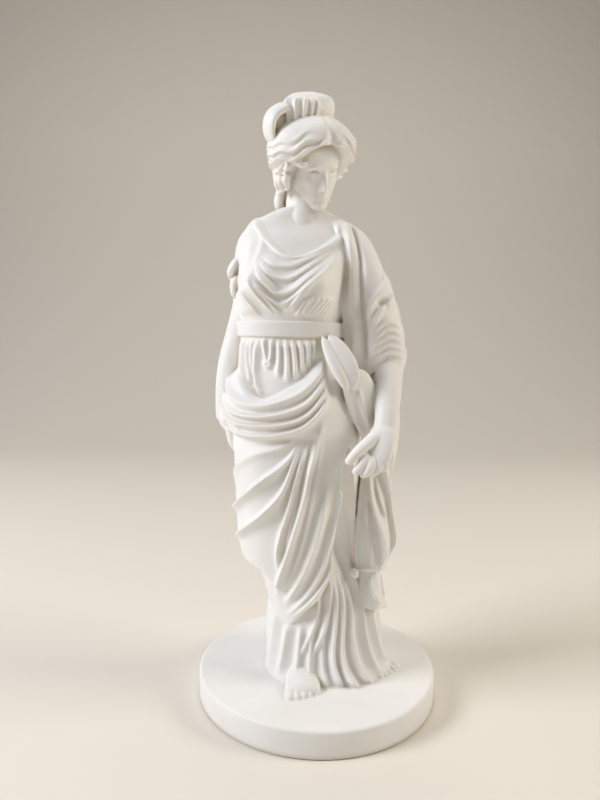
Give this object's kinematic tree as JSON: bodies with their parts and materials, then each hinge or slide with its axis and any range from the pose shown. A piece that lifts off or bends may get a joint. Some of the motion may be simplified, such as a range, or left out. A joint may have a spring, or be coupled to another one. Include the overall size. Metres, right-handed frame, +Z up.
{
  "type": "greek goddess statue",
  "caption": "Standing draped goddess statuette, head bowed to her left, one arm wrapped in a mantle, made in one piece with a low round plinth.",
  "frame": {"origin": "centre of the plinth's flat underside", "axes": "+Z up, the figure faces -Y, and +X is her left"},
  "size_m": [0.0898, 0.09, 0.2191],
  "materials": {
    "matte_white": "matte white moulded resin with a fine plaster-like grain and faint horizontal layer lines"
  },
  "bodies": {
    "root": {"goddess_statue": "matte_white"}
  },
  "joints": []
}
